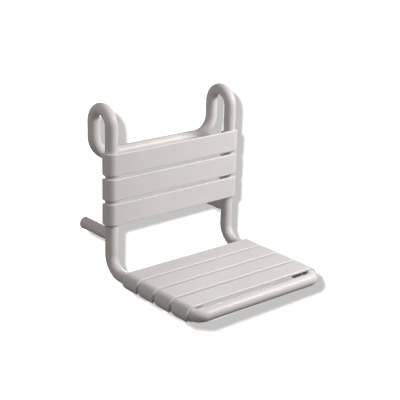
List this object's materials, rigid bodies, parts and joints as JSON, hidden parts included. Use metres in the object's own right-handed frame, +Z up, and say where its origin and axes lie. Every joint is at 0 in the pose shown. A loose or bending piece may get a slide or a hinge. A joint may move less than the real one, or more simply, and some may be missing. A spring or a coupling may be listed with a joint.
{
  "type": "hanging shower seat",
  "caption": "Slatted shower seat with backrest on a bent round-tube frame whose two rear hooks hang over a wall grab rail, with two stub supports that rest on the wall.",
  "frame": {"origin": "on the axis of the wall grab rail, midway between the two hooks, where the rail lies in the hooks' crowns", "axes": "+X along the rail, to the right as seen from the front; +Y back towards the wall; +Z up"},
  "size_m": [0.45, 0.4995, 0.4725],
  "materials": {
    "polyamide": "satin light warm grey",
    "core_steel": "galvanised, hidden",
    "screw_steel": "stainless",
    "pad": "matt warm grey"
  },
  "bodies": {
    "root": {"back_keeper_left_1": "polyamide", "back_keeper_left_2": "polyamide", "back_keeper_left_3": "polyamide", "back_keeper_right_1": "polyamide", "back_keeper_right_2": "polyamide", "back_keeper_right_3": "polyamide", "back_keeper_screws": "screw_steel", "back_slat_1": "polyamide", "back_slat_2": "polyamide", "back_slat_3": "polyamide", "crossbar_spigot": "core_steel", "front_core": "core_steel", "front_tube": "polyamide", "hook_core_left": "core_steel", "hook_core_right": "core_steel", "hook_tube_left": "polyamide", "hook_tube_right": "polyamide", "joint_screws": "screw_steel", "seat_keeper_left_1": "polyamide", "seat_keeper_left_2": "polyamide", "seat_keeper_left_3": "polyamide", "seat_keeper_left_4": "polyamide", "seat_keeper_right_1": "polyamide", "seat_keeper_right_2": "polyamide", "seat_keeper_right_3": "polyamide", "seat_keeper_right_4": "polyamide", "seat_keeper_screws": "screw_steel", "seat_slat_1": "polyamide", "seat_slat_2": "polyamide", "seat_slat_3": "polyamide", "seat_slat_4": "polyamide", "side_core_left": "core_steel", "side_core_right": "core_steel", "side_spigot_left": "core_steel", "side_spigot_right": "core_steel", "side_tube_left": "polyamide", "side_tube_right": "polyamide", "support_anchor_left": "core_steel", "support_anchor_right": "core_steel", "support_core_left": "core_steel", "support_core_right": "core_steel", "support_pad_left": "pad", "support_pad_right": "pad", "support_screws": "screw_steel", "support_tube_left": "polyamide", "support_tube_right": "polyamide", "upright_spigot_left": "core_steel", "upright_spigot_right": "core_steel"}
  },
  "joints": []
}
